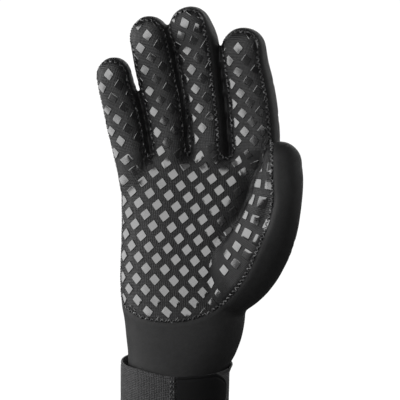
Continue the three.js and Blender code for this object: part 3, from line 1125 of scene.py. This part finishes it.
def cloth_material(name, dark, light, pitch, turn, relief, distance=0.25, relief_tone=0.3, **constants):
    """A cloth whose yarns follow the stored flat place of the skin, the strap or the tab."""
    material, tree, shader = new_material(name, sheen_roughness=0.45, **constants)
    place = tree.nodes.new("ShaderNodeAttribute")
    place.attribute_name = "cloth"
    yarn = tree.nodes.new("ShaderNodeGroup")
    yarn.node_tree = YARN
    yarn.inputs["Yarn pitch"].default_value = pitch
    yarn.inputs["Turn"].default_value = math.radians(turn)
    tree.links.new(place.outputs["Vector"], yarn.inputs["Place"])
    height = yarn.outputs["Height"]
    tone = maths(tree, "MULTIPLY_ADD", height, relief_tone, yarn.outputs["Mottle"])
    colour = two_tones(tree, tone, dark, light, TONES_FROM, TONES_TO + relief_tone)
    tree.links.new(colour, shader.inputs["Base Color"])
    tree.links.new(bump(tree, height, relief, distance), shader.inputs["Normal"])
    return material


SILICONE_GRAIN_SCALE = 1400.0
SILICONE_ROUGHNESS = (0.16, 0.24)
# Painted glints on the thread: where the noise is high its base colour turns light grey, standing in for
# highlights.
PAINTED_GLINT_SCALE = 420.0
PAINTED_GLINT_FROM, PAINTED_GLINT_TO = 0.5, 0.64
FILAMENT_SCALE = 6000.0


def silicone_material():
    """Glossy black silicone with a faint grain."""
    material, tree, shader = new_material("grip_silicone", ior=2.0, specular=0.75)
    grain = noise_texture(tree, object_place(tree), SILICONE_GRAIN_SCALE, detail=3.0)
    colour = two_tones(tree, grain, (0.006, 0.006, 0.0065), (0.014, 0.014, 0.0145))
    tree.links.new(map_range(tree, grain, *SILICONE_ROUGHNESS), shader.inputs["Roughness"])
    tree.links.new(colour, shader.inputs["Base Color"])
    tree.links.new(bump(tree, grain, strength=0.25, distance=0.06), shader.inputs["Normal"])
    return material


def thread_material():
    """Shiny black nylon with painted glints: noise lightens its base colour in spots, and fine filaments
    bump its surface.
    """
    material, tree, shader = new_material("seam_thread", roughness=0.3, specular=1.0)
    place = object_place(tree)
    # Painted glints: light spots in the base colour that stand in for highlights on the thread.
    painted_glints = noise_texture(tree, place, PAINTED_GLINT_SCALE)
    colour = two_tones(tree, painted_glints, (0.02, 0.02, 0.021), (0.25, 0.25, 0.254), PAINTED_GLINT_FROM, PAINTED_GLINT_TO)
    tree.links.new(colour, shader.inputs["Base Color"])
    filaments = noise_texture(tree, place, FILAMENT_SCALE)
    tree.links.new(bump(tree, filaments, strength=0.2, distance=0.05), shader.inputs["Normal"])
    return material


PRINTED_CLOTH = cloth_material(
    "printed_neoprene", (0.001, 0.001, 0.0011), (0.045, 0.045, 0.046), pitch=1.3, turn=45, relief=0.7,
    relief_tone=0.45, roughness=0.34, specular=0.42)
PLAIN_CLOTH = cloth_material(
    "plain_neoprene", (0.006, 0.006, 0.0062), (0.03, 0.03, 0.0306), pitch=0.8, turn=0, relief=0.3,
    roughness=0.55, specular=0.4)
WEBBING = cloth_material(
    "woven_webbing", (0.002, 0.002, 0.0021), (0.13, 0.13, 0.133), pitch=1.5, turn=45, relief=1.0,
    distance=0.5, relief_tone=0.4, roughness=0.6, sheen=0.05, specular=0.5)
TAB_CLOTH = cloth_material(
    "tab_fabric", (0.0035, 0.0035, 0.004), (0.007, 0.007, 0.0075), pitch=0.7, turn=0, relief=0.15,
    roughness=0.6, specular=0.2)
SILICONE = silicone_material()
THREAD_NYLON = thread_material()


# Skin
skin = voxel_skin()
cut_away(skin, (0, 0, 0), (0, 0, 1), near=0.001, clear_inner=True)
relax_folds(skin)
shape_skin(skin)
skin.normal_update()
skin_tree = BVHTree.FromBMesh(skin)
split_at_seam(skin)
palm_skin = panel(skin, True)
body_skin = panel(skin, False)
skin.free()
stitches = seam_stitches(palm_skin, skin_tree)
cloth_lines(palm_skin)
cloth_lines(body_skin)
grip = place_print(skin_tree)

palm_piece = make_piece("palm_panel_cloth", palm_skin, PRINTED_CLOTH)
thicken(palm_piece)
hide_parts("palm_panel")
body_piece = make_piece("body_panel_cloth", body_skin, PLAIN_CLOTH)
thicken(body_piece)
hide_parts("body_panel")
make_piece("grip_print", grip, SILICONE, sharp=28)
make_piece("seam_stitches", stitches, THREAD_NYLON)

# Strap and tab
strap = band(*STRAP_SPAN, STRAP_STEP, strap_lift, strap_edges, STRAP_THICKNESS)
row_stitches = strap_stitches(BVHTree.FromBMesh(strap))
strap_piece = make_piece("woven_wrist_strap", strap, WEBBING)
make_piece("strap_end_stitches", row_stitches, THREAD_NYLON)
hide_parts("wrist_strap")
tab = band(0, tab_end(), TAB_STEP, lambda angle: TAB_LIFT, tab_edges, STRAP_THICKNESS)
tab_piece = make_piece("closure_tab_cloth", tab, TAB_CLOTH)
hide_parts("closure_tab")


# Camera and lights
CENTRE = Vector((0.01488, 0.0, 0.1606))
CAMERA_DISTANCE = 1.3
FRAME_WIDTH = 0.248
SENSOR = 36.0
LIGHT_DISTANCE = 1.7
ROOM_FILL = 0.02
ROOM_SEEN = 1.05

camera_data = bpy.data.cameras.new("camera")
camera_data.sensor_width = SENSOR
camera_data.sensor_fit = "HORIZONTAL"
camera_data.lens = SENSOR * CAMERA_DISTANCE / FRAME_WIDTH
camera = bpy.data.objects.new("camera", camera_data)
camera.location = CENTRE + Vector((0, -CAMERA_DISTANCE, 0))
camera.rotation_euler = (math.pi / 2, 0, 0)
bpy.context.collection.objects.link(camera)
bpy.context.scene.camera = camera


def softbox(name, azimuth, width, low, high, radiance):
    """A soft light, by the angles that it spans; its azimuth turns from the camera to the left."""
    light = bpy.data.lights.new(name, "AREA")
    light.shape = "RECTANGLE"
    light.size = 2 * LIGHT_DISTANCE * math.tan(math.radians(width / 2))
    light.size_y = 2 * LIGHT_DISTANCE * math.tan(math.radians((high - low) / 2))
    light.energy = radiance * light.size * light.size_y * math.pi
    holder = bpy.data.objects.new(name, light)
    turn, lift = math.radians(azimuth), math.radians((low + high) / 2)
    way = Vector((-math.sin(turn) * math.cos(lift), -math.cos(turn) * math.cos(lift), math.sin(lift)))
    holder.location = CENTRE + way * LIGHT_DISTANCE
    holder.rotation_euler = way.to_track_quat("Z", "Y").to_euler()
    holder.visible_camera = False
    bpy.context.collection.objects.link(holder)


softbox("front_light", azimuth=8, width=56, low=-4, high=26, radiance=1.9)
softbox("left_light", azimuth=82, width=92, low=-36, high=38, radiance=2.3)
softbox("high_light", azimuth=30, width=50, low=34, high=60, radiance=0.4)
softbox("back_light", azimuth=180, width=60, low=-5, high=45, radiance=1.8)
softbox("right_light", azimuth=-112, width=50, low=-5, high=45, radiance=0.7)


def camera_ray(tree):
    return tree.nodes.new("ShaderNodeLightPath").outputs["Is Camera Ray"]


world = bpy.data.worlds.new("studio")
bpy.context.scene.world = world
world.use_nodes = True
room = world.node_tree
room.nodes.clear()
choose = room.nodes.new("ShaderNodeMixShader")
room.links.new(camera_ray(room), choose.inputs["Fac"])
for place, strength in zip(choose.inputs[1:], (ROOM_FILL, ROOM_SEEN)):
    background = room.nodes.new("ShaderNodeBackground")
    background.inputs["Color"].default_value = (1, 1, 1, 1)
    background.inputs["Strength"].default_value = strength
    room.links.new(background.outputs[0], place)
output = room.nodes.new("ShaderNodeOutputWorld")
room.links.new(choose.outputs[0], output.inputs["Surface"])

# The floor glows a little towards its rim for the camera, so that it runs into the room's white.
FLOOR_RADIUS = 0.48
FLOOR_DROP = 0.002
FLOOR_GLOW = (0.8, 1.02)
FLOOR_GLOW_FROM = (0.1, 0.36)

floor_bm = bmesh.new()
bmesh.ops.create_circle(floor_bm, segments=96, radius=FLOOR_RADIUS, cap_ends=True)
floor_mesh = bpy.data.meshes.new("floor")
floor_bm.to_mesh(floor_mesh)
floor_bm.free()
floor_mesh.transform(Matrix.Translation((0, 0, -FLOOR_DROP)))
floor = bpy.data.objects.new("floor", floor_mesh)
bpy.context.collection.objects.link(floor)
paint, paint_tree, paint_shader = new_material(
    "pale_floor", colour=(0.12, 0.12, 0.12, 1), roughness=0.9, glow=1.0)
from_middle = paint_tree.nodes.new("ShaderNodeVectorMath")
from_middle.operation = "LENGTH"
paint_tree.links.new(object_place(paint_tree), from_middle.inputs[0])
glow = map_range(paint_tree, from_middle.outputs["Value"], *FLOOR_GLOW, *FLOOR_GLOW_FROM)
seen_glow = maths(paint_tree, "MULTIPLY", glow, camera_ray(paint_tree))
paint_tree.links.new(seen_glow, paint_shader.inputs["Emission Color"])
floor_mesh.materials.append(paint)

bpy.context.scene.view_settings.view_transform = "Standard"
